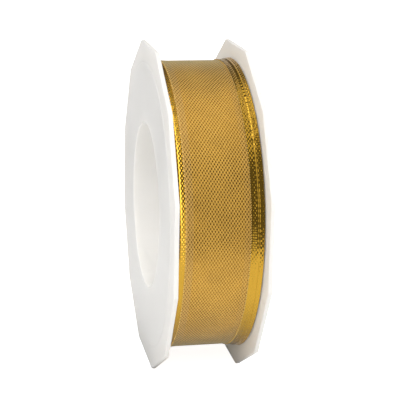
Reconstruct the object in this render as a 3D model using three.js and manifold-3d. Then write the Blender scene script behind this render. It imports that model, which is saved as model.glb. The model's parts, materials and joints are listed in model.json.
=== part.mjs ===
// Ribbon spool: two twelve-sided plastic spool halves pressed together, wound with a
// wire-edged metallic ribbon whose taped free end lifts off the back of the roll.
//
// Frame: millimetres, +Z up, spool axis along X. The origin is on the surface the spool
// stands on, below its middle. The front of the spool is -Y and its back is +Y, and its
// near half is the one at -X.
import * as THREE from 'three';
import { mergeVertices } from 'three/addons/utils/BufferGeometryUtils.js';
import Module from 'manifold-3d';

const wasm = await Module();
wasm.setup();

// ---- driving dimensions (mm) ----
const SIDES = 12; // flange outline
const FLANGE_CORNER_R = 51; // axis to the sharp corner
const CORNER_ROUND_R = 1.6; // rounding of each flange corner
const WIDTH = 28; // over the two flange rims
const FLANGE_T = 1.3;
const FACE_STEP = 0.25; // raised disc on each outer face
const FACE_STEP_R = 44.1;
const BORE_R = 25.5;
const BORE_EASE = 0.4; // eased edge at each bore mouth
const HUB_R = 27.4; // outside of the hub sleeve
const SPIGOT_R = 26.3; // tongue of the near half inside the far half's socket
const SPIGOT_L = 5.4; // how far the tongue passes the joint plane
const SPIGOT_EASE = 0.4;
const GAP = 0.3; // clearance between pieces that touch on the real spool

const RIBBON_W = 24.8;
const NEAR_BAND_W = 2.5; // foil band along the near edge of the ribbon
const FAR_BAND_W = 3.9; // foil band along the far edge, the wider one
const ROLL_IN_R = 28.3; // innermost turn
const WEB_R = 44.1; // outermost turn between the foil bands
const SELVAGE_R = 44.3; // outermost turn at the foil bands, a little proud
const NEAR_WIRE_INSET = 0.9; // ribbon edge to the wire's centre
const FAR_WIRE_INSET = 1.55;
const WIRE_T = 0.3;
const WIRE_R = 44.4; // outermost wire turn

const TAIL_START_DEG = 22; // lift line, from the top of the roll towards the back
const TAIL_LENGTH = 45; // free end, along the ribbon
const TAIL_T = 0.4;
const TAIL_SELVAGE_T = 0.6;
const TAPE_W = 19;
const TAPE_T = 0.3;
const TAPE_SPAN_DEG = 24;
const START_TAPE_SPAN_DEG = 60;

const ROUND_SEGMENTS = 72;
const CORNER_SEGMENTS = 3;

// ---- derived sizes ----
const APOTHEM = FLANGE_CORNER_R * Math.cos(Math.PI / SIDES);
const RIM_X = WIDTH / 2; // outer plane of a flange rim
const INNER_X = RIM_X - FLANGE_T; // inner face of a flange
const FACE_X = RIM_X + FACE_STEP; // raised disc
const PLATE_OPENING_R = (BORE_R + FACE_STEP_R) / 2; // edge hidden inside the lathed part
const RIBBON_X = RIBBON_W / 2;
const NEAR_BAND_X = RIBBON_X - NEAR_BAND_W; // middle of the ribbon to the foil band's inner line
const FAR_BAND_X = RIBBON_X - FAR_BAND_W;
const WEB_START_X = -NEAR_BAND_X + GAP / 2;
const WEB_END_X = FAR_BAND_X - GAP / 2;
const WIRE_SLOT = WIRE_T / 2 + GAP; // half width of the channel a wire lies in
const TAIL_IN_R = WIRE_R + GAP;
const TAIL_SPAN_DEG = THREE.MathUtils.radToDeg(TAIL_LENGTH / (TAIL_IN_R + TAIL_T / 2));
const TAIL_END_DEG = TAIL_START_DEG + TAIL_SPAN_DEG;
const TAPE_IN_R = TAIL_IN_R + TAIL_SELVAGE_T + GAP;

// The two edges of the ribbon: where each foil band begins and ends, and its wire's centre.
const EDGES = [
  {
    name: 'near',
    x0: -RIBBON_X,
    x1: -NEAR_BAND_X - GAP / 2,
    wire: -RIBBON_X + NEAR_WIRE_INSET,
  },
  {
    name: 'far',
    x0: FAR_BAND_X + GAP / 2,
    x1: RIBBON_X,
    wire: RIBBON_X - FAR_WIRE_INSET,
  },
];

// ---- materials ----
const finish = (color, roughness, metalness) =>
  new THREE.MeshStandardMaterial({ color, roughness, metalness });
const PLASTIC = () => finish(0xecebe6, 0.42, 0);
const WEB = () => finish(0xb98d45, 0.48, 0.55);
const FOIL = () => finish(0xd8a53c, 0.22, 0.95);
const WIRE = () => finish(0xc8963a, 0.3, 1);
const TAPE = () => finish(0xf4f2ea, 0.15, 0);

// ---- geometry helpers ----

// One closed shell with shared vertices.
function welded(geometry) {
  geometry.deleteAttribute('normal');
  geometry.deleteAttribute('uv');
  return mergeVertices(geometry, 1e-4);
}

function solidOf(geometry) {
  const shell = welded(geometry);
  const mesh = new wasm.Mesh({
    numProp: 3,
    vertProperties: new Float32Array(shell.attributes.position.array),
    triVerts: new Uint32Array(shell.index.array),
  });
  return new wasm.Manifold(mesh);
}

function geometryOf(solid) {
  const mesh = solid.getMesh();
  const geometry = new THREE.BufferGeometry();
  geometry.setAttribute('position', new THREE.BufferAttribute(mesh.vertProperties, 3));
  geometry.setIndex(new THREE.BufferAttribute(mesh.triVerts, 1));
  geometry.computeVertexNormals();
  return geometry;
}

// Ring about the spool axis. The profile is a closed loop of [radius, x], with the
// material on its left-hand side when radius is drawn to the right and x upwards.
function ring(profile) {
  const loop = [...profile, profile[0]].map(([r, x]) => new THREE.Vector2(r, x));
  return new THREE.LatheGeometry(loop, ROUND_SEGMENTS).rotateZ(-Math.PI / 2);
}

// Plain ring with a rectangular section.
function band(innerR, outerR, x0, x1) {
  return ring([
    [innerR, x0],
    [outerR, x0],
    [outerR, x1],
    [innerR, x1],
  ]);
}

// Curved strip lying round the spool axis between two angles, which count from the
// top (+Z) towards the back (+Y).
function strip(innerR, thickness, startDeg, endDeg, x0, x1) {
  const outerR = innerR + thickness;
  const start = THREE.MathUtils.degToRad(90 - startDeg);
  const end = THREE.MathUtils.degToRad(90 - endDeg);
  const outline = new THREE.Shape();
  outline.absarc(0, 0, outerR, start, end, true);
  outline.absarc(0, 0, innerR, end, start, false);
  outline.closePath();
  const steps = Math.ceil((endDeg - startDeg) / 4);
  return new THREE.ExtrudeGeometry(outline, {
    depth: x1 - x0,
    bevelEnabled: false,
    curveSegments: steps,
  })
    .rotateY(Math.PI / 2)
    .rotateX(Math.PI / 2)
    .translate(x0, 0, 0);
}

// Regular polygon with rounded corners, standing on one of its flats.
function flangeOutline() {
  const outline = new THREE.Shape();
  const halfTurn = Math.PI / SIDES;
  const centreR = FLANGE_CORNER_R - CORNER_ROUND_R / Math.cos(halfTurn);
  for (let i = 0; i < SIDES; i += 1) {
    const at = halfTurn * (2 * i + 1);
    const cx = centreR * Math.cos(at);
    const cy = centreR * Math.sin(at);
    outline.absarc(cx, cy, CORNER_ROUND_R, at - halfTurn, at + halfTurn, false);
  }
  outline.closePath();
  return outline;
}

// Flange plate from x0 to x1, open in the middle, where the lathed part fills it.
function flangePlate(x0, x1) {
  const outline = flangeOutline();
  const opening = [];
  for (let i = 0; i < ROUND_SEGMENTS; i += 1) {
    const at = (-2 * Math.PI * i) / ROUND_SEGMENTS;
    opening.push(new THREE.Vector2(PLATE_OPENING_R * Math.cos(at), PLATE_OPENING_R * Math.sin(at)));
  }
  outline.holes.push(new THREE.Path(opening));
  return new THREE.ExtrudeGeometry(outline, {
    depth: x1 - x0,
    bevelEnabled: false,
    curveSegments: CORNER_SEGMENTS,
  })
    .rotateY(Math.PI / 2)
    .translate(x0, 0, 0);
}

// ---- the pieces ----

// Near half: flange, hub sleeve up to the middle, and a tongue that enters the far half.
function nearHalf() {
  const lathed = ring([
    [BORE_R + BORE_EASE, -FACE_X],
    [FACE_STEP_R, -FACE_X],
    [FACE_STEP_R, -INNER_X],
    [HUB_R, -INNER_X],
    [HUB_R, -GAP / 2],
    [SPIGOT_R, -GAP / 2],
    [SPIGOT_R, SPIGOT_L - SPIGOT_EASE],
    [SPIGOT_R - SPIGOT_EASE, SPIGOT_L],
    [BORE_R, SPIGOT_L],
    [BORE_R, -FACE_X + BORE_EASE],
  ]);
  return geometryOf(solidOf(lathed).add(solidOf(flangePlate(-RIM_X, -INNER_X))));
}

// Far half: flange, hub sleeve up to the middle, and the socket for the tongue.
function farHalf() {
  const lathed = ring([
    [BORE_R, FACE_X - BORE_EASE],
    [BORE_R, SPIGOT_L + GAP],
    [SPIGOT_R + GAP, SPIGOT_L + GAP],
    [SPIGOT_R + GAP, GAP / 2],
    [HUB_R, GAP / 2],
    [HUB_R, INNER_X],
    [FACE_STEP_R, INNER_X],
    [FACE_STEP_R, FACE_X],
    [BORE_R + BORE_EASE, FACE_X],
  ]);
  return geometryOf(solidOf(lathed).add(solidOf(flangePlate(INNER_X, RIM_X))));
}

// Foil band of the wound ribbon, with the open channel that its wire turns lie in.
function selvageTurns({ x0, x1, wire }) {
  return ring([
    [ROLL_IN_R, x0],
    [SELVAGE_R, x0],
    [SELVAGE_R, wire - WIRE_SLOT],
    [ROLL_IN_R + 1, wire - WIRE_SLOT],
    [ROLL_IN_R + 1, wire + WIRE_SLOT],
    [SELVAGE_R, wire + WIRE_SLOT],
    [SELVAGE_R, x1],
    [ROLL_IN_R, x1],
  ]);
}

// All the turns of one edge wire, as the thin disc that they make.
function wireTurns({ wire }) {
  return band(ROLL_IN_R + 1 + GAP, WIRE_R, wire - WIRE_T / 2, wire + WIRE_T / 2);
}

// Foil band of the free end, with its wire channel.
function tailSelvage({ x0, x1, wire }) {
  const whole = strip(TAIL_IN_R, TAIL_SELVAGE_T, TAIL_START_DEG, TAIL_END_DEG, x0, x1);
  const channel = strip(
    TAIL_IN_R + TAIL_SELVAGE_T / 3,
    TAIL_SELVAGE_T,
    TAIL_START_DEG - 1,
    TAIL_END_DEG + 1,
    wire - WIRE_SLOT,
    wire + WIRE_SLOT,
  );
  return geometryOf(solidOf(whole).subtract(solidOf(channel)));
}

function tailWire({ wire }) {
  const innerR = TAIL_IN_R + TAIL_SELVAGE_T / 3 + GAP;
  return strip(
    innerR,
    WIRE_T,
    TAIL_START_DEG,
    TAIL_END_DEG,
    wire - WIRE_T / 2,
    wire + WIRE_T / 2,
  );
}

// ---- assembly ----

const spool = new THREE.Group();
const onAxis = new THREE.Group(); // everything is drawn about the spool axis
onAxis.position.z = APOTHEM;
spool.add(onAxis);

function place(name, geometry, material) {
  const mesh = new THREE.Mesh(geometry, material);
  mesh.name = name;
  onAxis.add(mesh);
}

place('near_half_spool', nearHalf(), PLASTIC());
place('far_half_spool', farHalf(), PLASTIC());

place(
  'start_tape',
  strip(
    HUB_R + GAP,
    TAPE_T,
    -START_TAPE_SPAN_DEG / 2,
    START_TAPE_SPAN_DEG / 2,
    -TAPE_W / 2,
    TAPE_W / 2,
  ),
  TAPE(),
);
place('ribbon_web_turns', band(ROLL_IN_R, WEB_R, WEB_START_X, WEB_END_X), WEB());
for (const edge of EDGES) {
  place(`${edge.name}_selvage_turns`, selvageTurns(edge), FOIL());
  place(`${edge.name}_edge_wire_turns`, wireTurns(edge), WIRE());
  place(`tail_${edge.name}_selvage`, tailSelvage(edge), FOIL());
  place(`tail_${edge.name}_edge_wire`, tailWire(edge), WIRE());
}

place(
  'tail_web',
  strip(TAIL_IN_R, TAIL_T, TAIL_START_DEG, TAIL_END_DEG, WEB_START_X, WEB_END_X),
  WEB(),
);
place(
  'closure_tape',
  strip(
    TAPE_IN_R,
    TAPE_T,
    TAIL_END_DEG - TAPE_SPAN_DEG / 2,
    TAIL_END_DEG + TAPE_SPAN_DEG / 2,
    -TAPE_W / 2,
    TAPE_W / 2,
  ),
  TAPE(),
);

export default spool;
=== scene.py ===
"""Looks of the ribbon spool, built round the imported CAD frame. Metres, +Z up, spool axis along X.

A place on the roll is given by an angle that counts from the top of the roll towards the
back (+Y), a distance from the spool axis, and x. The ribbon is wound so that its free end
lies on the back of the roll, past the lift line that the CAD joint states.
"""

import json
import math

import bpy
import numpy as np
from mathutils import Matrix, Vector


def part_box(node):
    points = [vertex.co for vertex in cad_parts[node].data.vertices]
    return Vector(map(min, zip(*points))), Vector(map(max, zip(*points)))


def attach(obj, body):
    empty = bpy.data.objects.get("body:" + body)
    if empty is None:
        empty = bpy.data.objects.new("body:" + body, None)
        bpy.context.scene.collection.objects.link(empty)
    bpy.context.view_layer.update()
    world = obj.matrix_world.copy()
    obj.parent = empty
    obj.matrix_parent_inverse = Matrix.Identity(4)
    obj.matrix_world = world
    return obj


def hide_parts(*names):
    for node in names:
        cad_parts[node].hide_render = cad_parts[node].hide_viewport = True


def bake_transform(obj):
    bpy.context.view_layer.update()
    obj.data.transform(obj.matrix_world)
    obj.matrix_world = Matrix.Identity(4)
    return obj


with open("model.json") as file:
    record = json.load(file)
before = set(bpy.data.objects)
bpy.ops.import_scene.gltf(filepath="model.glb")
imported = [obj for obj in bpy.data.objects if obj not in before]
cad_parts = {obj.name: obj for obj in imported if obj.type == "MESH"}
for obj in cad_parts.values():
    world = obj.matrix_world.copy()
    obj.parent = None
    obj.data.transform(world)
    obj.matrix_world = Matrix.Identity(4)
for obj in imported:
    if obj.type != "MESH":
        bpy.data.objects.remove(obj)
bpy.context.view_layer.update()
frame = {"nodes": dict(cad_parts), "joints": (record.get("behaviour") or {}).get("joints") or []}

MM = 0.001

# ---- sizes read from the frame ----
near_low, near_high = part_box("near_half_spool")
_, far_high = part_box("far_half_spool")
web_low, web_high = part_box("ribbon_web_turns")
near_band_low, near_band_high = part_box("near_selvage_turns")
far_band_low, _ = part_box("far_selvage_turns")
tail_low, tail_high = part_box("tail_web")
tape_low, tape_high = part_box("closure_tape")
hinge = Vector(frame["joints"][0]["pos_m"])

AXIS_Z = (near_low.z + near_high.z) / 2
APOTHEM = (near_high.z - near_low.z) / 2
SIDES = 12
CORNER_R = APOTHEM / math.cos(math.pi / SIDES)
FACE_X = far_high.x
WEB_R = (web_high.z - web_low.z) / 2
BAND_R = (near_band_high.z - near_band_low.z) / 2
RIBBON_HALF = -near_band_low.x
# foil bands' inner lines and wires, as distances from the ribbon's middle line;
# -1 is the near edge, 1 the far one
BAND_INNER_X = {
    -1: -(near_band_high.x + web_low.x) / 2,
    1: (far_band_low.x + web_high.x) / 2,
}
WIRE_X = {
    side: abs(sum(corner.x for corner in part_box(edge + "_edge_wire_turns"))) / 2
    for side, edge in ((-1, "near"), (1, "far"))
}

# ---- sizes that no box gives ----
FACE_STEP = 0.25 * MM
FACE_STEP_R = 44.1 * MM
FLANGE_T = 1.3 * MM
CORNER_ROUND = 1.6 * MM
BORE_R = 25.5 * MM
HUB_R = 27.4 * MM
SPIGOT_R = 26.3 * MM
PRESS_GAP = 0.3 * MM
ROLL_IN_R = 28.3 * MM
WARP_PITCH = 0.45  # millimetres, as in the weave map
WEFT_PITCH = 0.70
WEFT_SKEW = 0.12  # how far the cross yarns run along the ribbon for each millimetre across it
SHEER_STRIPS = ((-8.8, 1.25, 1.0), (7.7, 0.95, 0.45))  # middle, half width, strength
CRUMPLED_DEG = (-330, -262, -205, -40, 48)  # stretches where winding has creased the foil
CRUMPLED_FADE = (17, 7)  # millimetres along from their middles: where they begin, and are full


def on_roll(degrees, radius, x=0.0):
    """The point at that angle from the top towards the back."""
    a = math.radians(degrees)
    return Vector((x, radius * math.sin(a), AXIS_Z + radius * math.cos(a)))


HINGE_DEG = math.degrees(math.atan2(hinge.y, hinge.z - AXIS_Z))
TAIL_END_DEG = math.degrees(math.atan2(tail_high.y, tail_low.z - AXIS_Z))
TAPE_REACH_DEG = math.degrees(math.asin((tape_high.x - tape_low.x) / 2 / WEB_R))


# ---- camera, at the photograph's angle ----
VIEW_DEG = (-11.24, 15.72)  # azimuth from the front, and elevation
AIM_DEG = (1.116, -0.441, -0.135)  # roll, pan and tilt away from the spool's middle
CAMERA_DISTANCE = 7.407 * CORNER_R
SENSOR_MM = 36
LENS_MM = 109.03


def make_camera():
    azimuth, elevation = (math.radians(a) for a in VIEW_DEG)
    roll, pan, tilt = (math.radians(a) for a in AIM_DEG)
    back = Vector(
        (
            math.sin(azimuth) * math.cos(elevation),
            -math.cos(azimuth) * math.cos(elevation),
            math.sin(elevation),
        )
    )
    right = Vector((math.cos(azimuth), math.sin(azimuth), 0))
    up = back.cross(right)
    right, up = (
        right * math.cos(roll) + up * math.sin(roll),
        up * math.cos(roll) - right * math.sin(roll),
    )
    ahead = -back
    right, ahead = (
        right * math.cos(pan) + ahead * math.sin(pan),
        ahead * math.cos(pan) - right * math.sin(pan),
    )
    up, ahead = (
        up * math.cos(tilt) + ahead * math.sin(tilt),
        ahead * math.cos(tilt) - up * math.sin(tilt),
    )
    data = bpy.data.cameras.new("photo_camera")
    data.sensor_width = SENSOR_MM
    data.lens = LENS_MM
    data.clip_start = 0.01
    data.clip_end = 20
    camera = bpy.data.objects.new("photo_camera", data)
    bpy.context.scene.collection.objects.link(camera)
    place = Vector((0, 0, AXIS_Z)) + back * CAMERA_DISTANCE
    turn = Matrix((right, up, -ahead)).transposed().to_4x4()
    camera.matrix_world = Matrix.Translation(place) @ turn
    bpy.context.scene.camera = camera


# ---- node helpers ----
class Nodes:
    """Short ways to write a node tree."""

    def __init__(self, tree):
        self.tree = tree

    def add(self, kind, **settings):
        node = self.tree.nodes.new(kind)
        for key, value in settings.items():
            setattr(node, key, value)
        return node

    def link(self, source, target):
        self.tree.links.new(source, target)

    def feed(self, socket, value):
        if isinstance(value, bpy.types.NodeSocket):
            self.link(value, socket)
        else:
            socket.default_value = value

    def math(self, operation, a, b=0.0, c=None, clamp=False):
        node = self.add("ShaderNodeMath", operation=operation, use_clamp=clamp)
        self.feed(node.inputs[0], a)
        self.feed(node.inputs[1], b)
        if c is not None:
            self.feed(node.inputs[2], c)
        return node.outputs[0]

    def smooth(self, value, low, high, start=0.0, end=1.0):
        node = self.add("ShaderNodeMapRange", interpolation_type="SMOOTHSTEP")
        for name, v in zip(
            ("Value", "From Min", "From Max", "To Min", "To Max"),
            (value, low, high, start, end),
            strict=True,
        ):
            self.feed(node.inputs[name], v)
        return node.outputs["Result"]

    def mix(self, factor, a, b):
        node = self.add("ShaderNodeMix", data_type="RGBA")
        self.feed(node.inputs["Factor"], factor)
        self.feed(node.inputs[6], a)
        self.feed(node.inputs[7], b)
        return node.outputs[2]

    def noise(self, vector, scale, detail=2.0, roughness=0.5):
        node = self.add("ShaderNodeTexNoise")
        self.link(vector, node.inputs["Vector"])
        node.inputs["Scale"].default_value = scale
        node.inputs["Detail"].default_value = detail
        node.inputs["Roughness"].default_value = roughness
        return node.outputs["Fac"]


def new_material(name):
    material = bpy.data.materials.new(name)
    material.use_nodes = True
    tree = material.node_tree
    return material, Nodes(tree), tree.nodes["Principled BSDF"]


def rgb(r, g, b):
    return (r, g, b, 1.0)


# ---- materials ----
def plastic_material():
    """Satin white moulded plastic that lets a little light in."""
    material, n, shader = new_material("spool_plastic")
    place = n.add("ShaderNodeTexCoord").outputs["Object"]
    cloud = n.noise(place, 60, 3)
    grain = n.noise(place, 1800, 2)
    colour = n.mix(cloud, rgb(0.81, 0.787, 0.742), rgb(0.86, 0.838, 0.798))
    n.link(colour, shader.inputs["Base Color"])
    n.link(n.smooth(cloud, 0.3, 0.7, 0.48, 0.6), shader.inputs["Roughness"])
    shader.inputs["IOR"].default_value = 1.49
    shader.inputs["Subsurface Weight"].default_value = 0.6
    shader.inputs["Subsurface Radius"].default_value = (1.0, 0.98, 0.92)
    shader.inputs["Subsurface Scale"].default_value = 0.004
    bump = n.add("ShaderNodeBump")
    bump.inputs["Strength"].default_value = 0.08
    bump.inputs["Distance"].default_value = 0.00005
    n.link(grain, bump.inputs["Height"])
    n.link(bump.outputs["Normal"], shader.inputs["Normal"])
    return material


def weave(n):
    """The plain weave in the ribbon's own millimetres.

    Gives which yarn lies on top, from -1 to 1, the map itself, and the place along and
    across the ribbon.
    """
    uv = n.add("ShaderNodeUVMap", uv_map="weave").outputs["UV"]
    parts = n.add("ShaderNodeSeparateXYZ")
    n.link(uv, parts.inputs[0])
    along, across = parts.outputs[0], parts.outputs[1]
    sway = n.math("SUBTRACT", n.noise(uv, 0.35, 2), 0.5)
    along = n.math("MULTIPLY_ADD", sway, 0.5, along)
    weft = n.math("MULTIPLY_ADD", across, WEFT_SKEW, along)
    a = n.math("SINE", n.math("MULTIPLY", weft, math.pi / WEFT_PITCH))
    b = n.math("SINE", n.math("MULTIPLY", across, math.pi / WARP_PITCH))
    return n.math("MULTIPLY", a, b), uv, along, across


def leaning(n, lean, along_share):
    """The surface normal, leaned across the ribbon by that slope, and by a share of it along."""
    normal = n.add("ShaderNodeNewGeometry").outputs["Normal"]
    across = n.add("ShaderNodeCombineXYZ")
    n.feed(across.inputs[0], lean)
    along = n.add("ShaderNodeVectorMath", operation="CROSS_PRODUCT")
    n.link(normal, along.inputs[0])
    n.link(across.outputs[0], along.inputs[1])
    share = n.add("ShaderNodeVectorMath", operation="SCALE")
    n.link(along.outputs[0], share.inputs[0])
    share.inputs["Scale"].default_value = along_share
    total = normal
    for part in (across.outputs[0], share.outputs[0]):
        summed = n.add("ShaderNodeVectorMath", operation="ADD")
        n.link(total, summed.inputs[0])
        n.link(part, summed.inputs[1])
        total = summed.outputs[0]
    unit = n.add("ShaderNodeVectorMath", operation="NORMALIZE")
    n.link(total, unit.inputs[0])
    return unit.outputs[0]


def bumped(n, shader, height, distance, normal=None):
    bump = n.add("ShaderNodeBump")
    bump.inputs["Distance"].default_value = distance
    n.feed(bump.inputs["Height"], height)
    if normal is not None:
        n.link(normal, bump.inputs["Normal"])
    n.link(bump.outputs["Normal"], shader.inputs["Normal"])


def web_material():
    """Woven gold web: satin cross yarns with a painted highlight on their crests, small glossy
    wells between them darkened with painted shade, and a sheer strip beside each foil band."""
    material, n, shader = new_material("ribbon_web")
    top, uv, along, across = weave(n)
    patch = n.smooth(n.noise(uv, 0.12, 3), 0.30, 0.70)
    yarn = n.noise(uv, 2.5, 2)
    gold = n.mix(patch, rgb(0.65, 0.355, 0.050), rgb(0.56, 0.305, 0.044))
    # random patches where the painted highlight and painted shade of the weave, and the wells'
    # gloss, are stronger or weaker
    painted_contrast_and_gloss = n.smooth(n.noise(uv, 0.10, 2), 0.36, 0.62, 0.78, 1.0)
    # painted highlight: the crests of the yarns lying on top are lightened towards a pale gold
    crest_highlight = n.math("MULTIPLY", n.smooth(top, -0.1, -0.8), n.smooth(yarn, 0.3, 0.7, 0.45, 1.0))
    crest_highlight = n.math("MULTIPLY", crest_highlight, painted_contrast_and_gloss)
    gold = n.mix(crest_highlight, gold, rgb(0.80, 0.51, 0.12))
    # painted shade: the wells between the yarns take this darker gold, also in the sheer strips;
    # their metallic and roughness further down are their real gloss
    dull = n.mix(patch, rgb(0.42, 0.205, 0.020), rgb(0.34, 0.165, 0.016))
    well = n.math("MULTIPLY", n.smooth(top, 0.15, 0.60), painted_contrast_and_gloss)
    strips = []
    for middle, half, strength in SHEER_STRIPS:
        away = n.math("ABSOLUTE", n.math("SUBTRACT", across, middle))
        strips.append(n.smooth(away, half, half - 0.3, 0.0, strength))
    sheer = n.math("MULTIPLY", n.math("MAXIMUM", *strips), 0.3)
    gold = n.mix(sheer, gold, rgb(0.53, 0.34, 0.13))
    dull = n.mix(sheer, dull, rgb(0.46, 0.28, 0.09))
    n.link(n.mix(well, gold, dull), shader.inputs["Base Color"])
    n.link(n.smooth(well, 0, 1, 0.5, 0.9), shader.inputs["Metallic"])
    n.link(n.smooth(well, 0, 1, 0.48, 0.18), shader.inputs["Roughness"])
    shader.inputs["Sheen Weight"].default_value = 0.55
    shader.inputs["Sheen Roughness"].default_value = 0.36
    shader.inputs["Sheen Tint"].default_value = rgb(0.80, 0.92, 0.72)
    bumped(n, shader, n.math("ABSOLUTE", top), 0.02 * MM)
    return material


def foil_material():
    """Bright gold foil yarns: staggered flat floats that lean a little to either side,
    and crinkles from winding."""
    material, n, shader = new_material("ribbon_foil")
    top, uv, along, across = weave(n)
    patch = n.noise(uv, 0.5, 3)
    colour = n.mix(patch, rgb(0.72, 0.42, 0.052), rgb(0.66, 0.38, 0.045))
    n.link(colour, shader.inputs["Base Color"])
    shader.inputs["Metallic"].default_value = 1.0
    n.link(n.smooth(patch, 0.3, 0.7, 0.10, 0.16), shader.inputs["Roughness"])
    crumpled = 0.0
    for spot in CRUMPLED_DEG:
        away = n.math("ABSOLUTE", n.math("SUBTRACT", along, math.radians(spot) * WEB_R / MM))
        crumpled = n.math("MAXIMUM", n.smooth(away, *CRUMPLED_FADE), crumpled)
    crinkle = n.math("MULTIPLY", n.noise(uv, 0.7, 1), n.math("MULTIPLY_ADD", crumpled, 2.5, 1.0))
    off_wire = n.math(
        "MINIMUM",
        n.math("ABSOLUTE", n.math("ADD", across, WIRE_X[-1] / MM)),
        n.math("ABSOLUTE", n.math("SUBTRACT", across, WIRE_X[1] / MM)),
    )
    floats = n.math("MULTIPLY", top, n.smooth(off_wire, 0.2, 0.5, 0.35, 1.0))
    # the near band's yarns lean more
    floats = n.math("MULTIPLY", floats, n.smooth(across, -6, -8, 1.0, 1.5))
    lean = n.math("MULTIPLY", floats, n.math("MULTIPLY_ADD", crumpled, 0.16, 0.19))
    bumped(n, shader, crinkle, 0.06 * MM, leaning(n, lean, 1.0))
    return material


def thread_material():
    """Twisted bright thread of the stitches beside the foil bands."""
    material, n, shader = new_material("stitch_thread")
    uv = n.add("ShaderNodeUVMap", uv_map="weave").outputs["UV"]
    fleck = n.noise(uv, 4.0, 2)
    n.link(n.mix(fleck, rgb(0.94, 0.70, 0.28), rgb(0.84, 0.55, 0.15)), shader.inputs["Base Color"])
    shader.inputs["Metallic"].default_value = 1.0
    n.link(n.smooth(fleck, 0.3, 0.7, 0.12, 0.24), shader.inputs["Roughness"])
    bumped(n, shader, n.noise(uv, 9.0, 1), 0.02 * MM)
    return material


def wire_material():
    """Fine drawn wire with a dull gold plating."""
    material, n, shader = new_material("edge_wire")
    place = n.add("ShaderNodeTexCoord").outputs["Object"]
    fleck = n.noise(place, 900, 2)
    n.link(n.mix(fleck, rgb(0.72, 0.44, 0.08), rgb(0.60, 0.36, 0.07)), shader.inputs["Base Color"])
    shader.inputs["Metallic"].default_value = 1.0
    n.link(n.smooth(fleck, 0.3, 0.7, 0.22, 0.34), shader.inputs["Roughness"])
    return material


def tape_material():
    """Clear film: almost nothing but its cut rims, where it bends the light, can be seen."""
    material, n, shader = new_material("clear_tape")
    uv = n.add("ShaderNodeUVMap", uv_map="weave").outputs["UV"]
    parts = n.add("ShaderNodeSeparateXYZ")
    n.link(uv, parts.inputs[0])
    haze = n.noise(uv, 0.3, 2)
    n.link(n.mix(haze, rgb(0.86, 0.74, 0.48), rgb(0.76, 0.62, 0.36)), shader.inputs["Base Color"])
    n.link(n.smooth(haze, 0.35, 0.65, 0.06, 0.12), shader.inputs["Roughness"])
    middle = math.radians(TAIL_END_DEG) * WEB_R / MM
    reach = (tape_high.x - tape_low.x) / 2 / MM
    sideways = n.smooth(n.math("ABSOLUTE", parts.outputs[1]), reach - 0.45, reach - 0.15)
    lengthways = n.math("ABSOLUTE", n.math("SUBTRACT", parts.outputs[0], middle))
    span = math.radians(TAPE_REACH_DEG) * WEB_R / MM
    lengthways = n.smooth(lengthways, span - 0.45, span - 0.15)
    rim = n.math("MAXIMUM", sideways, lengthways)
    n.link(n.smooth(rim, 0, 1, 0.05, 0.3), shader.inputs["Alpha"])
    shader.inputs["IOR"].default_value = 1.47
    return material


# ---- mesh helpers ----
def mesh_object(name, points, faces, material, uv=None, smooth=True):
    """A linked object of that mesh; uv gives each point's place on the weave, in millimetres."""
    mesh = bpy.data.meshes.new(name)
    mesh.from_pydata([tuple(p) for p in points], [], [tuple(f) for f in faces])
    if uv is not None:
        layer = mesh.uv_layers.new(name="weave")
        loops = np.zeros(len(mesh.loops), np.int32)
        mesh.loops.foreach_get("vertex_index", loops)
        layer.data.foreach_set("uv", np.asarray(uv, np.float32)[loops].ravel())
    mesh.materials.append(material)
    mesh.polygons.foreach_set("use_smooth", [smooth] * len(mesh.polygons))
    mesh.update()
    o = bpy.data.objects.new(name, mesh)
    bpy.context.scene.collection.objects.link(o)
    return o


def tube_faces(rows, columns, close_rows=False):
    """Quads of a grid of points whose columns close on themselves.

    The rows close too if asked, and their two ends are capped if not.
    """
    faces = []
    for i in range(rows if close_rows else rows - 1):
        for j in range(columns):
            a = i * columns + j
            b = i * columns + (j + 1) % columns
            c = (i + 1) % rows * columns + (j + 1) % columns
            d = (i + 1) % rows * columns + j
            faces.append((a, b, c, d))
    if not close_rows:
        faces.append(tuple(range(columns))[::-1])
        faces.append(tuple((rows - 1) * columns + j for j in range(columns)))
    return faces


# ---- spool halves ----
CORNER_STEPS = 4
FLAT_STEPS = 8
FACE_STEP_SLOPE = 0.7 * MM  # the width over which the raised face falls to the rim
FACE_RINGS_MM = (27.5, 31, 35, 39, 42.5)  # these divide the flange's flat faces evenly
INNER_RINGS_MM = (44, 38, 32)


def ring_angles():
    """Angles round a flange, from the middle of one flat, close together at the corners."""
    centre_r = (APOTHEM - CORNER_ROUND) / math.cos(math.pi / SIDES)
    half_corner = math.pi / SIDES - math.atan2(centre_r * math.sin(math.pi / SIDES), APOTHEM)
    angles = []
    for side in range(SIDES):
        corner = 2 * math.pi / SIDES * side + math.pi / SIDES
        for k in range(CORNER_STEPS + 1):
            angles.append(corner + half_corner * (2 * k / CORNER_STEPS - 1))
        room = 2 * math.pi / SIDES - 2 * half_corner
        for k in range(1, FLAT_STEPS):
            angles.append(corner + half_corner + room * k / FLAT_STEPS)
    return np.array(angles)


def outline_radius(angles, inset):
    """Distance from the axis to the flange's outline, moved in by inset."""
    apothem = APOTHEM - inset
    rounding = max(CORNER_ROUND - inset, 0.05 * MM)
    centre_r = (apothem - rounding) / math.cos(math.pi / SIDES)
    step = 2 * math.pi / SIDES
    from_flat = (angles + step / 2) % step - step / 2
    from_corner = math.pi / SIDES - np.abs(from_flat)
    limit = math.pi / SIDES - math.atan2(centre_r * math.sin(math.pi / SIDES), apothem)
    straight = apothem / np.cos(from_flat)
    reach = np.maximum(rounding**2 - (centre_r * np.sin(from_corner)) ** 2, 0)
    round_part = centre_r * np.cos(from_corner) + np.sqrt(reach)
    return np.where(from_corner < limit, round_part, straight)


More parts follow.
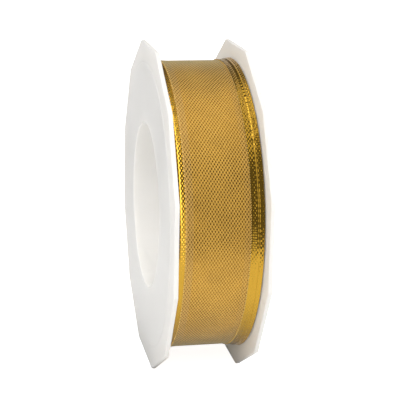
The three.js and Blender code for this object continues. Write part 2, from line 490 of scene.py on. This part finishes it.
def fillet(centre_r, centre_x, radius, start, end, steps=4):
    """Points (r, x) along an arc of a profile, angles in degrees from +r towards +x."""
    points = []
    for k in range(steps + 1):
        a = math.radians(start + (end - start) * k / steps)
        points.append((centre_r + radius * math.cos(a), centre_x + radius * math.sin(a)))
    return points


def half_spool(name, material, socket):
    """One moulded half. It is drawn with its flange at +x and turned over for the near half."""
    rim_x = FACE_X - FACE_STEP
    inner_x = rim_x - FLANGE_T
    rim_round = 0.22 * MM
    mouth_round = 0.2 * MM
    root_round = 0.6 * MM
    tongue = 5.4 * MM
    profile = []  # (distance from the axis, or None, inset of the outline, x)

    def circle(points):
        profile.extend((r, 0.0, x) for r, x in points)

    def outline(points):
        profile.extend((None, inset, x) for inset, x in points)

    if socket:
        socket_r = SPIGOT_R + PRESS_GAP
        circle([(socket_r, PRESS_GAP / 2), (socket_r, tongue + PRESS_GAP)])
        circle([(BORE_R, tongue + PRESS_GAP)])
    else:
        circle([(HUB_R, PRESS_GAP / 2), (SPIGOT_R, PRESS_GAP / 2)])
        circle([(SPIGOT_R, -tongue + 0.4 * MM), (SPIGOT_R - 0.4 * MM, -tongue)])
        circle([(BORE_R, -tongue), (BORE_R, 0.0)])
    circle([(BORE_R, FACE_X - 4 * MM)])  # splits the long wall of the bore
    circle(fillet(BORE_R + mouth_round, FACE_X - mouth_round, mouth_round, 180, 90, 5))
    circle([(r * MM, FACE_X) for r in FACE_RINGS_MM])
    for t in (0.0, 0.2, 0.4, 0.6, 0.8, 1.0):
        r = FACE_STEP_R - FACE_STEP_SLOPE * (1 - t)
        circle([(r, FACE_X - FACE_STEP * t * t * (3 - 2 * t))])
    outline([(2.2 * MM, rim_x), (0.8 * MM, rim_x)])
    outline(
        (rim_round - rim_round * math.sin(a), rim_x - rim_round + rim_round * math.cos(a))
        for a in np.radians((0, 22, 45, 68, 90))
    )
    outline(
        (rim_round - rim_round * math.cos(a), inner_x + rim_round - rim_round * math.sin(a))
        for a in np.radians((0, 22, 45, 68, 90))
    )
    outline([(0.8 * MM, inner_x), (2.2 * MM, inner_x)])
    circle([(r * MM, inner_x) for r in INNER_RINGS_MM])
    circle(fillet(HUB_R + root_round, inner_x - root_round, root_round, 90, 180, 4))
    if socket:
        circle([(HUB_R, PRESS_GAP / 2)])

    angles = ring_angles()
    points = []
    for radius, inset, x in profile:
        r = outline_radius(angles, inset) if radius is None else np.full(len(angles), radius)
        # the outline stands on a flat, which points down
        y, z = r * np.sin(angles), -r * np.cos(angles)
        points.append(np.stack([np.full(len(angles), x), y, z + AXIS_Z], axis=1))
    points = np.concatenate(points)
    faces = tube_faces(len(profile), len(angles), close_rows=True)
    if not socket:
        points[:, 0] *= -1
        faces = [f[::-1] for f in faces]
    o = mesh_object(name, points, faces, material)
    sharpen(o)
    return o


def sharpen(o, degrees=38):
    """Marks the creases, and gives flat faces flat shading up to their rounded edges."""
    o.data.set_sharp_from_angle(angle=math.radians(degrees))
    weighted = o.modifiers.new("flat faces", "WEIGHTED_NORMAL")
    weighted.keep_sharp = True


# ---- ribbon ----
TURN_T = 0.36 * MM  # how much the outer turn climbs on its way round
CLOTH_T = 0.12 * MM
FOIL_T = 0.07 * MM
FOIL_LIFT = 0.015 * MM
WIRE_RADIUS = 0.1 * MM
# where each edge starts to curl up, and how far it rises
EDGE_RISE = {-1: (9.4 * MM, 0.54 * MM), 1: (10.2 * MM, 0.54 * MM)}
STITCH_PITCH = 0.70 * MM
STITCH_LENGTH = 0.60 * MM
STITCH_WIDTH = 0.42 * MM
STITCH_HEIGHT = 0.16 * MM
TAPE_RISE = 0.15 * MM  # the tape bridges the stitches of the far band
FRONT_DEG = -90
LIFT_START_DEG = HINGE_DEG - 8
WIRE_PROUD_DEG = 0.9  # how far the wires stand out of the cut end
TAPE_T = 0.05 * MM
TAPE_LIFT = 0.10 * MM
UNDER_START_DEG = LIFT_START_DEG - 376  # the outer turn starts well under its own other end


def smoothstep(value, low, high):
    t = np.clip((value - low) / (high - low), 0, 1)
    return t * t * (3 - 2 * t)


def ripple(along, across, seed, lengths, amplitude):
    """Gentle seeded waves over the ribbon, along and across in metres."""
    random = np.random.default_rng(seed)
    total = np.zeros(np.broadcast(along, across).shape)
    for length in lengths:
        for _ in range(3):
            heading = random.uniform(-0.5, 0.5)
            phase = random.uniform(0, 2 * math.pi)
            turn = 2 * math.pi / (length * random.uniform(0.8, 1.25))
            total += np.sin(turn * (along + heading * across) + phase)
    return amplitude * total / (3 * len(lengths))


def arc_length(degrees):
    return np.radians(degrees) * WEB_R


def cloth_top(degrees, x):
    """Distance from the axis to the outer face of the ribbon's cloth.

    Its edges stand a little proud.
    """
    turn = WEB_R + TURN_T * (degrees - FRONT_DEG) / 360
    proud = (BAND_R - WEB_R - FOIL_T) * smoothstep(np.abs(x), 7.0 * MM, 9.6 * MM)
    along = arc_length(degrees)
    waves = ripple(along, x, 4, (0.031, 0.013), 0.05 * MM)
    rise = 0
    for side, (start, height) in EDGE_RISE.items():
        rise = rise + height * np.clip((side * x - start) / (RIBBON_HALF - start), 0, 1)
    return turn + proud + waves + rise


def foil_top(degrees, x, side):
    """Distance from the axis to the outer face of a foil band, with the ridge over its wire."""
    along = arc_length(degrees)
    base = cloth_top(degrees, x) + FOIL_LIFT + FOIL_T
    off_wire = (np.abs(x) - WIRE_X[side]) / (0.27 * MM)
    ridge = 0.11 * MM * np.exp(-(off_wire**2))
    crumpled = sum(np.exp(-(((degrees - spot) / 11) ** 2)) for spot in CRUMPLED_DEG)
    crimp = ripple(along, x, 11 + side, (0.0052, 0.0029), 0.035 * MM * (1 + 2.4 * crumpled))
    inner = BAND_INNER_X[side]
    edge = smoothstep(np.abs(x), inner, inner + 1.6 * MM)
    return base + ridge + crimp * edge


def ribbon_strip(name, degrees, xs, top, thickness, material):
    """A closed thin strip round the roll: its outer face, its inner face, and its rims."""
    degrees, xs = np.asarray(degrees, float), np.asarray(xs, float)
    section = np.concatenate([xs, xs[::-1]])
    under = np.concatenate([np.zeros(len(xs)), np.ones(len(xs))])
    d, x = np.meshgrid(degrees, section, indexing="ij")
    r = top(d, x) - thickness * under
    a = np.radians(d)
    points = np.stack([x, r * np.sin(a), AXIS_Z + r * np.cos(a)], axis=-1).reshape(-1, 3)
    uv = np.stack([arc_length(d) / MM, x / MM], axis=-1).reshape(-1, 2)
    columns = len(section)
    faces = tube_faces(len(degrees), columns)[:-2]
    last = (len(degrees) - 1) * columns
    for j in range(len(xs) - 1):
        near, far = (j, j + 1), (columns - 2 - j, columns - 1 - j)
        faces.append((near[1], near[0], far[1], far[0]))
        faces.append(tuple(last + k for k in (near[0], near[1], far[0], far[1])))
    strip = mesh_object(name, points, faces, material, uv)
    strip.data.set_sharp_from_angle(angle=math.radians(50))
    return strip


def even(start, end, step):
    return np.linspace(start, end, max(2, math.ceil(abs(end - start) / step) + 1))


def foil_columns(side):
    inner, outer = BAND_INNER_X[side], RIBBON_HALF - 0.03 * MM
    plain = even(inner, outer, 0.13 * MM)
    near_wire = WIRE_X[side] + np.linspace(-0.5, 0.5, 9) * MM
    columns = np.unique(np.round(np.concatenate([plain, near_wire]), 7))
    return columns if side > 0 else -columns[::-1]


def make_ribbon(prefix, degrees, web, foil):
    cloth_x = even(-RIBBON_HALF, RIBBON_HALF, 0.35 * MM)
    cloth = ribbon_strip(prefix + "_cloth", degrees, cloth_x, cloth_top, CLOTH_T, web)
    bands = []
    for edge, side in (("near", -1), ("far", 1)):
        band = ribbon_strip(
            f"{prefix}_{edge}_foil_band",
            degrees,
            foil_columns(side),
            lambda d, x, side=side: foil_top(d, x, side),
            FOIL_T,
            foil,
        )
        bands.append(band)
    return cloth, bands


def in_band(x, side):
    return smoothstep(side * x, BAND_INNER_X[side] - 0.3 * MM, BAND_INNER_X[side])


def face_top(degrees, x):
    """Distance from the axis to whatever is outermost: cloth or foil, without the wire ridge."""
    foil = np.maximum(in_band(x, -1), in_band(x, 1))
    return cloth_top(degrees, x) + (FOIL_LIFT + FOIL_T) * foil


def make_stitches(name, start, end, side, material):
    """A column of small thread beads along a foil band's inner line, each a little askew."""
    random = np.random.default_rng(31 + side)
    middles = np.arange(arc_length(start) + STITCH_PITCH, arc_length(end), STITCH_PITCH)
    rings, turns = 5, 6
    points, uv, faces = [], [], []
    for middle in middles:
        askew = math.radians(24) * side + random.uniform(-0.2, 0.2)
        size = random.uniform(0.85, 1.1)
        x_middle = side * (BAND_INNER_X[side] + random.uniform(-0.03, 0.05) * MM)
        first = len(points)
        for i in range(rings):
            bow = math.pi * (i + 0.5) / rings
            a = -math.cos(bow) * STITCH_LENGTH / 2 * size
            for k in range(turns):
                turn = 2 * math.pi * k / turns
                b = math.sin(bow) * math.cos(turn) * STITCH_WIDTH / 2
                lift = math.sin(bow) * math.sin(turn) * STITCH_HEIGHT * size
                along = middle + a * math.cos(askew) - b * math.sin(askew)
                x = x_middle + a * math.sin(askew) + b * math.cos(askew)
                degrees = math.degrees(along / WEB_R)
                radius = float(face_top(degrees, x)) + lift
                points.append(on_roll(degrees, radius, x))
                uv.append((along / MM, x / MM))
        faces += [tuple(first + k for k in f) for f in tube_faces(rings, turns)]
    o = mesh_object(name, points, faces, material, uv)
    return o


def make_wire(name, start, end, side, material):
    """The wire inside a foil band, a round tube under the foil's ridge."""
    degrees = even(start, end, 1.5)
    x = side * WIRE_X[side]
    sides = 8
    points = []
    for d in degrees:
        middle = float(cloth_top(d, x))
        for k in range(sides):
            turn = 2 * math.pi * k / sides
            radius = middle + WIRE_RADIUS * math.sin(turn)
            points.append(on_roll(d, radius, x + WIRE_RADIUS * math.cos(turn)))
    o = mesh_object(name, points, tube_faces(len(degrees), sides), material)
    return o


def make_frayed_yarns(material):
    """Short yarn ends that stand out of the free end's cut."""
    random = np.random.default_rng(8)
    sides, steps = 5, 4
    points, uv, faces = [], [], []
    for x in np.arange(-RIBBON_HALF + 0.5 * MM, RIBBON_HALF - 0.4 * MM, WARP_PITCH * MM):
        length = random.uniform(0.15, 0.6) * MM
        sway, lift = random.uniform(-0.15, 0.15) * MM, random.uniform(-0.02, 0.03) * MM
        first = len(points)
        for i in range(steps):
            t = i / (steps - 1)
            degrees = TAIL_END_DEG + math.degrees((length + 0.3 * MM) * t - 0.3 * MM) / WEB_R
            middle = float(cloth_top(degrees, x)) - CLOTH_T / 2 + lift * t * t
            thick = 0.05 * MM * (1 - 0.5 * t)
            for k in range(sides):
                turn = 2 * math.pi * k / sides
                across = x + sway * t * t + thick * math.cos(turn)
                points.append(on_roll(degrees, middle + thick * math.sin(turn), across))
                uv.append((arc_length(degrees) / MM, across / MM))
        faces += [tuple(first + k for k in f) for f in tube_faces(steps, sides)]
    o = mesh_object("free_end_frayed_yarns", points, faces, material, uv)
    return o


def make_closure_tape(material):
    """Clear tape over the cut end: it lies on the free end and steps down to the turn below."""
    drop_start, drop_end = TAIL_END_DEG + 0.9, TAIL_END_DEG + 2.6
    rise_start, rise_end = BAND_INNER_X[1] - 1.0 * MM, BAND_INNER_X[1] - 0.35 * MM

    def top(degrees, x):
        on_end = face_top(degrees, x)
        on_roll_below = face_top(degrees - 360, x)
        stepped = (on_roll_below - on_end) * smoothstep(degrees, drop_start, drop_end)
        over_stitches = TAPE_RISE * smoothstep(x, rise_start, rise_end)
        return on_end + stepped + TAPE_LIFT + over_stitches

    degrees = np.concatenate(
        [
            even(TAIL_END_DEG - TAPE_REACH_DEG, drop_start - 0.2, 0.6),
            even(drop_start, drop_end, 0.2),
            even(drop_end + 0.3, TAIL_END_DEG + TAPE_REACH_DEG, 0.6),
        ]
    )
    xs = even(tape_low.x, tape_high.x, 0.4 * MM)
    return ribbon_strip("closure_tape_film", degrees, xs, top, TAPE_T, material)


def make_wound_turns(material):
    """The turns under the outer one, as one wound body with a fine ridge for every few turns."""
    outer = WEB_R - 0.52 * MM
    side_x = RIBBON_HALF - 0.12 * MM
    ridge, groove = 0.42 * MM, 0.09 * MM
    count = int((outer - ROLL_IN_R) / ridge)
    climb = [ROLL_IN_R + (outer - ROLL_IN_R) * k / (2 * count) for k in range(2 * count + 1)]
    section = [(r, side_x - groove * (k % 2)) for k, r in enumerate(climb)]
    section += [(outer, x) for x in np.linspace(side_x, -side_x, 30)[1:-1]]
    section += [(r, -side_x + groove * (k % 2)) for k, r in reversed(list(enumerate(climb)))]
    section += [(ROLL_IN_R, x) for x in np.linspace(-side_x, side_x, 8)[1:-1]]
    turns = 144
    points, uv = [], []
    for i in range(turns):
        degrees = 360 * i / turns
        for r, x in section:
            points.append(on_roll(degrees, r, x))
            uv.append((arc_length(degrees) / MM, (x + (outer - r)) / MM))
    faces = tube_faces(turns, len(section), close_rows=True)
    o = mesh_object("wound_turns", points, faces, material, uv)
    o.data.set_sharp_from_angle(angle=math.radians(50))
    return o


# ---- stage ----
TABLE_R = 160 * MM
DOME_R = 3.0
STAGE_TURNS = 48
ROOM_HALF, ROOM_HEIGHT = 6.0, 8.0


def shown_to(o, camera=False, diffuse=False, glossy=False, shadow=False):
    """A stage piece that only some kinds of ray see."""
    o.visible_camera = camera
    o.visible_diffuse = diffuse
    o.visible_glossy = glossy
    o.visible_transmission = camera
    o.visible_volume_scatter = False
    o.visible_shadow = shadow


def pale_sheet(name, points, faces, albedo, glow):
    """A matt white stage piece of that albedo, which also glows by itself."""
    material, n, shader = new_material(name)
    shader.inputs["Base Color"].default_value = rgb(albedo, albedo, albedo)
    shader.inputs["Roughness"].default_value = 0.9
    shader.inputs["Specular IOR Level"].default_value = 0.1
    shader.inputs["Emission Color"].default_value = rgb(1, 1, 1)
    shader.inputs["Emission Strength"].default_value = glow
    return mesh_object(name, points, faces, material, smooth=False)


def make_floor():
    """The pale floor and walls that the camera sees, and the floor that gives the spool its
    bounced light, with the shade of the roll on it."""
    corners = [(x * ROOM_HALF, y * ROOM_HALF) for x, y in ((-1, -1), (1, -1), (1, 1), (-1, 1))]
    room = [(x, y, z) for z in (0, ROOM_HEIGHT) for x, y in corners]
    walls = [(a, (a + 1) % 4, (a + 1) % 4 + 4, a + 4) for a in range(4)]
    shown_to(pale_sheet("floor", room, [(0, 1, 2, 3), *walls], 0.92, 0.9), camera=True)
    below = [(x, y, -0.4 * MM) for x, y in corners]
    bounce = pale_sheet("floor_bounce", below, [(0, 1, 2, 3)], 0.75, 0.0)
    n = Nodes(bounce.data.materials[0].node_tree)
    parts = n.add("ShaderNodeSeparateXYZ")
    n.link(n.add("ShaderNodeTexCoord").outputs["Object"], parts.inputs[0])
    aside = n.smooth(n.math("ABSOLUTE", parts.outputs[0]), 0.032, 0.010)
    ahead = n.smooth(n.math("ABSOLUTE", parts.outputs[1]), 0.065, 0.02)
    shade = n.math("MULTIPLY_ADD", n.math("MULTIPLY", aside, ahead), -0.55, 0.95)
    n.link(shade, n.tree.nodes["Principled BSDF"].inputs["Base Color"])
    shown_to(bounce, diffuse=True, shadow=True)


def make_table_card():
    """The lit table top as the foil mirrors it, in the shade of the roll near its middle."""
    material, n, glow = emitter("table_card")
    place = n.add("ShaderNodeTexCoord").outputs["Object"]
    parts = n.add("ShaderNodeSeparateXYZ")
    n.link(place, parts.inputs[0])
    shade = n.smooth(n.math("ABSOLUTE", parts.outputs[1]), -0.005, 0.062, 0.1, 1.0)
    n.link(shade, glow.inputs["Color"])
    outline = circle_points(TABLE_R, STAGE_TURNS, -0.2 * MM)
    card = mesh_object("table_card", outline, [tuple(range(len(outline)))], material, smooth=False)
    shown_to(card, glossy=True)


def emitter(name):
    """A material that only glows, with its nodes and its glow."""
    material = bpy.data.materials.new(name)
    material.use_nodes = True
    material.node_tree.nodes.clear()
    n = Nodes(material.node_tree)
    glow = n.add("ShaderNodeEmission")
    n.link(glow.outputs[0], n.add("ShaderNodeOutputMaterial").inputs["Surface"])
    return material, n, glow


def circle_points(radius, steps, z):
    turns = [2 * math.pi * k / steps for k in range(steps)]
    return [(radius * math.cos(a), radius * math.sin(a), z) for a in turns]


def studio_grey(n):
    """Brightness of the studio by direction, alike in front and behind: a lit ceiling, a
    softbox on the right whose inner edge leans away as it rises, and dark air between."""
    place = n.add("ShaderNodeTexCoord").outputs["Object"]
    direction = n.add("ShaderNodeVectorMath", operation="NORMALIZE")
    n.link(place, direction.inputs[0])
    parts = n.add("ShaderNodeSeparateXYZ")
    n.link(direction.outputs[0], parts.inputs[0])
    x, y, z = parts.outputs
    height = n.math("MULTIPLY", n.math("ARCSINE", z), 180 / math.pi)
    aside = n.math("ARCTAN2", x, n.math("ABSOLUTE", y))
    aside = n.math("MULTIPLY", aside, 180 / math.pi)
    panel = n.math("ADD", n.smooth(x, 0.03, 0.32, 0.18, 1.0), n.smooth(x, 0.52, 0.62, 0.0, 2.4))
    panel = n.math("ADD", panel, n.smooth(x, -0.30, -0.42, 0.0, 2.2))
    ceiling = n.math("MULTIPLY", n.smooth(height, 48, 58), panel)
    lean = n.math("MULTIPLY", n.math("MAXIMUM", height, 0.0), 0.7)
    turned = n.math("SUBTRACT", aside, lean)
    softbox = n.math("ADD", n.smooth(turned, 17, 25, 0.0, 1.1), n.smooth(turned, 36, 44, 0.0, 1.6))
    softbox = n.math("MULTIPLY", softbox, n.smooth(height, -20, 10, 0.35, 1.0))
    left = n.smooth(aside, -28, -50, 0.0, 0.7)
    lit = n.math("MAXIMUM", n.math("MAXIMUM", ceiling, softbox), left)
    behind = n.smooth(y, 0.30, 0.62)
    behind = n.math("MULTIPLY", behind, n.smooth(height, 80, 60))
    dimmed = n.math("MULTIPLY", lit, n.math("MULTIPLY_ADD", behind, -0.7, 1.0))
    return n.math("MAXIMUM", dimmed, 0.13)


def make_dome():
    """The studio round the spool, as the metallic yarns mirror it."""
    turns, rings = STAGE_TURNS, 24
    points, faces = [], []
    for i in range(rings + 1):
        height = math.pi * (i / rings - 0.5)
        points += circle_points(DOME_R * math.cos(height), turns, DOME_R * math.sin(height))
    for i in range(rings):
        for k in range(turns):
            a, b = i * turns + k, i * turns + (k + 1) % turns
            faces.append((b, a, a + turns, b + turns))
    material, n, glow = emitter("studio_dome")
    n.link(studio_grey(n), glow.inputs["Color"])
    shown_to(mesh_object("studio_dome", points, faces, material), glossy=True)


def make_world():
    """Even white studio air for the plain light."""
    world = bpy.data.worlds.new("studio")
    bpy.context.scene.world = world
    world.use_nodes = True
    background = world.node_tree.nodes["Background"]
    background.inputs["Color"].default_value = rgb(1, 1, 1)
    background.inputs["Strength"].default_value = 0.56


def area_light(name, place, target, size, power):
    """A softbox for the plain light, which the metallic yarns don't mirror."""
    data = bpy.data.lights.new(name, "AREA")
    data.shape = "RECTANGLE"
    data.size, data.size_y = size
    data.energy = power
    light = bpy.data.objects.new(name, data)
    bpy.context.scene.collection.objects.link(light)
    place, target = Vector(place), Vector(target)
    light.location = place
    light.rotation_mode = "QUATERNION"
    light.rotation_quaternion = (target - place).to_track_quat("-Z", "Y")
    light.visible_glossy = False


def make_outer_turn(web, foil, thread, wire):
    degrees = even(UNDER_START_DEG, LIFT_START_DEG, 0.75)
    cloth, bands = make_ribbon("outer_turn", degrees, web, foil)
    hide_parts("ribbon_web_turns")
    pieces = []
    for band, (edge, side) in zip(bands, (("near", -1), ("far", 1)), strict=True):
        ends = degrees[0], degrees[-1]
        stitches = make_stitches(f"outer_turn_{edge}_stitches", *ends, side, thread)
        edge_wire = make_wire(f"outer_turn_{edge}_wire", *ends, side, wire)
        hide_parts(f"{edge}_selvage_turns")
        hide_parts(f"{edge}_edge_wire_turns")
        pieces += [band, stitches, edge_wire]
    wound = make_wound_turns(web)
    for piece in (wound, cloth, *pieces):
        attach(piece, "spool")
    return cloth


def make_free_end(web, foil, thread, wire, tape):
    degrees = even(LIFT_START_DEG, TAIL_END_DEG, 0.75)
    cloth, bands = make_ribbon("free_end", degrees, web, foil)
    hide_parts("tail_web")
    pieces = []
    for band, (edge, side) in zip(bands, (("near", -1), ("far", 1)), strict=True):
        ends = degrees[0], degrees[-1]
        stitches = make_stitches(f"free_end_{edge}_stitches", *ends, side, thread)
        reach = ends[1] + WIRE_PROUD_DEG
        edge_wire = make_wire(f"free_end_{edge}_wire", ends[0], reach, side, wire)
        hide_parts(f"tail_{edge}_selvage")
        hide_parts(f"tail_{edge}_edge_wire")
        pieces += [band, stitches, edge_wire]
    for piece in (cloth, *pieces):
        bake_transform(piece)
    yarns = make_frayed_yarns(web)
    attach(yarns, "free_end")
    film = make_closure_tape(tape)
    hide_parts("closure_tape")
    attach(film, "free_end")


def main():
    make_camera()
    make_floor()
    make_table_card()
    make_dome()
    make_world()
    area_light("overhead", (-0.2, -0.9, 1.1), (0, 0, 0), (1.2, 1.0), 9)
    area_light("left", (-1.2, -0.3, 0.9), (0, 0, AXIS_Z), (0.9, 0.9), 5.5)
    area_light("right", (1.2, -0.2, 0.45), (0, 0, AXIS_Z), (0.9, 0.9), 6)
    bpy.context.scene.view_settings.view_transform = "Standard"
    plastic = plastic_material()
    web = web_material()
    foil = foil_material()
    thread = thread_material()
    wire = wire_material()
    tape = tape_material()
    for name, socket in (("near_half_spool", False), ("far_half_spool", True)):
        half = half_spool(name + "_shell", plastic, socket)
        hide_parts(name)
        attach(half, "spool")
    outer_turn = make_outer_turn(web, foil, thread, wire)
    make_free_end(web, foil, thread, wire, tape)
    start_tape = frame["nodes"]["start_tape"]
    start_tape.data.materials.clear()
    start_tape.data.materials.append(tape)


main()
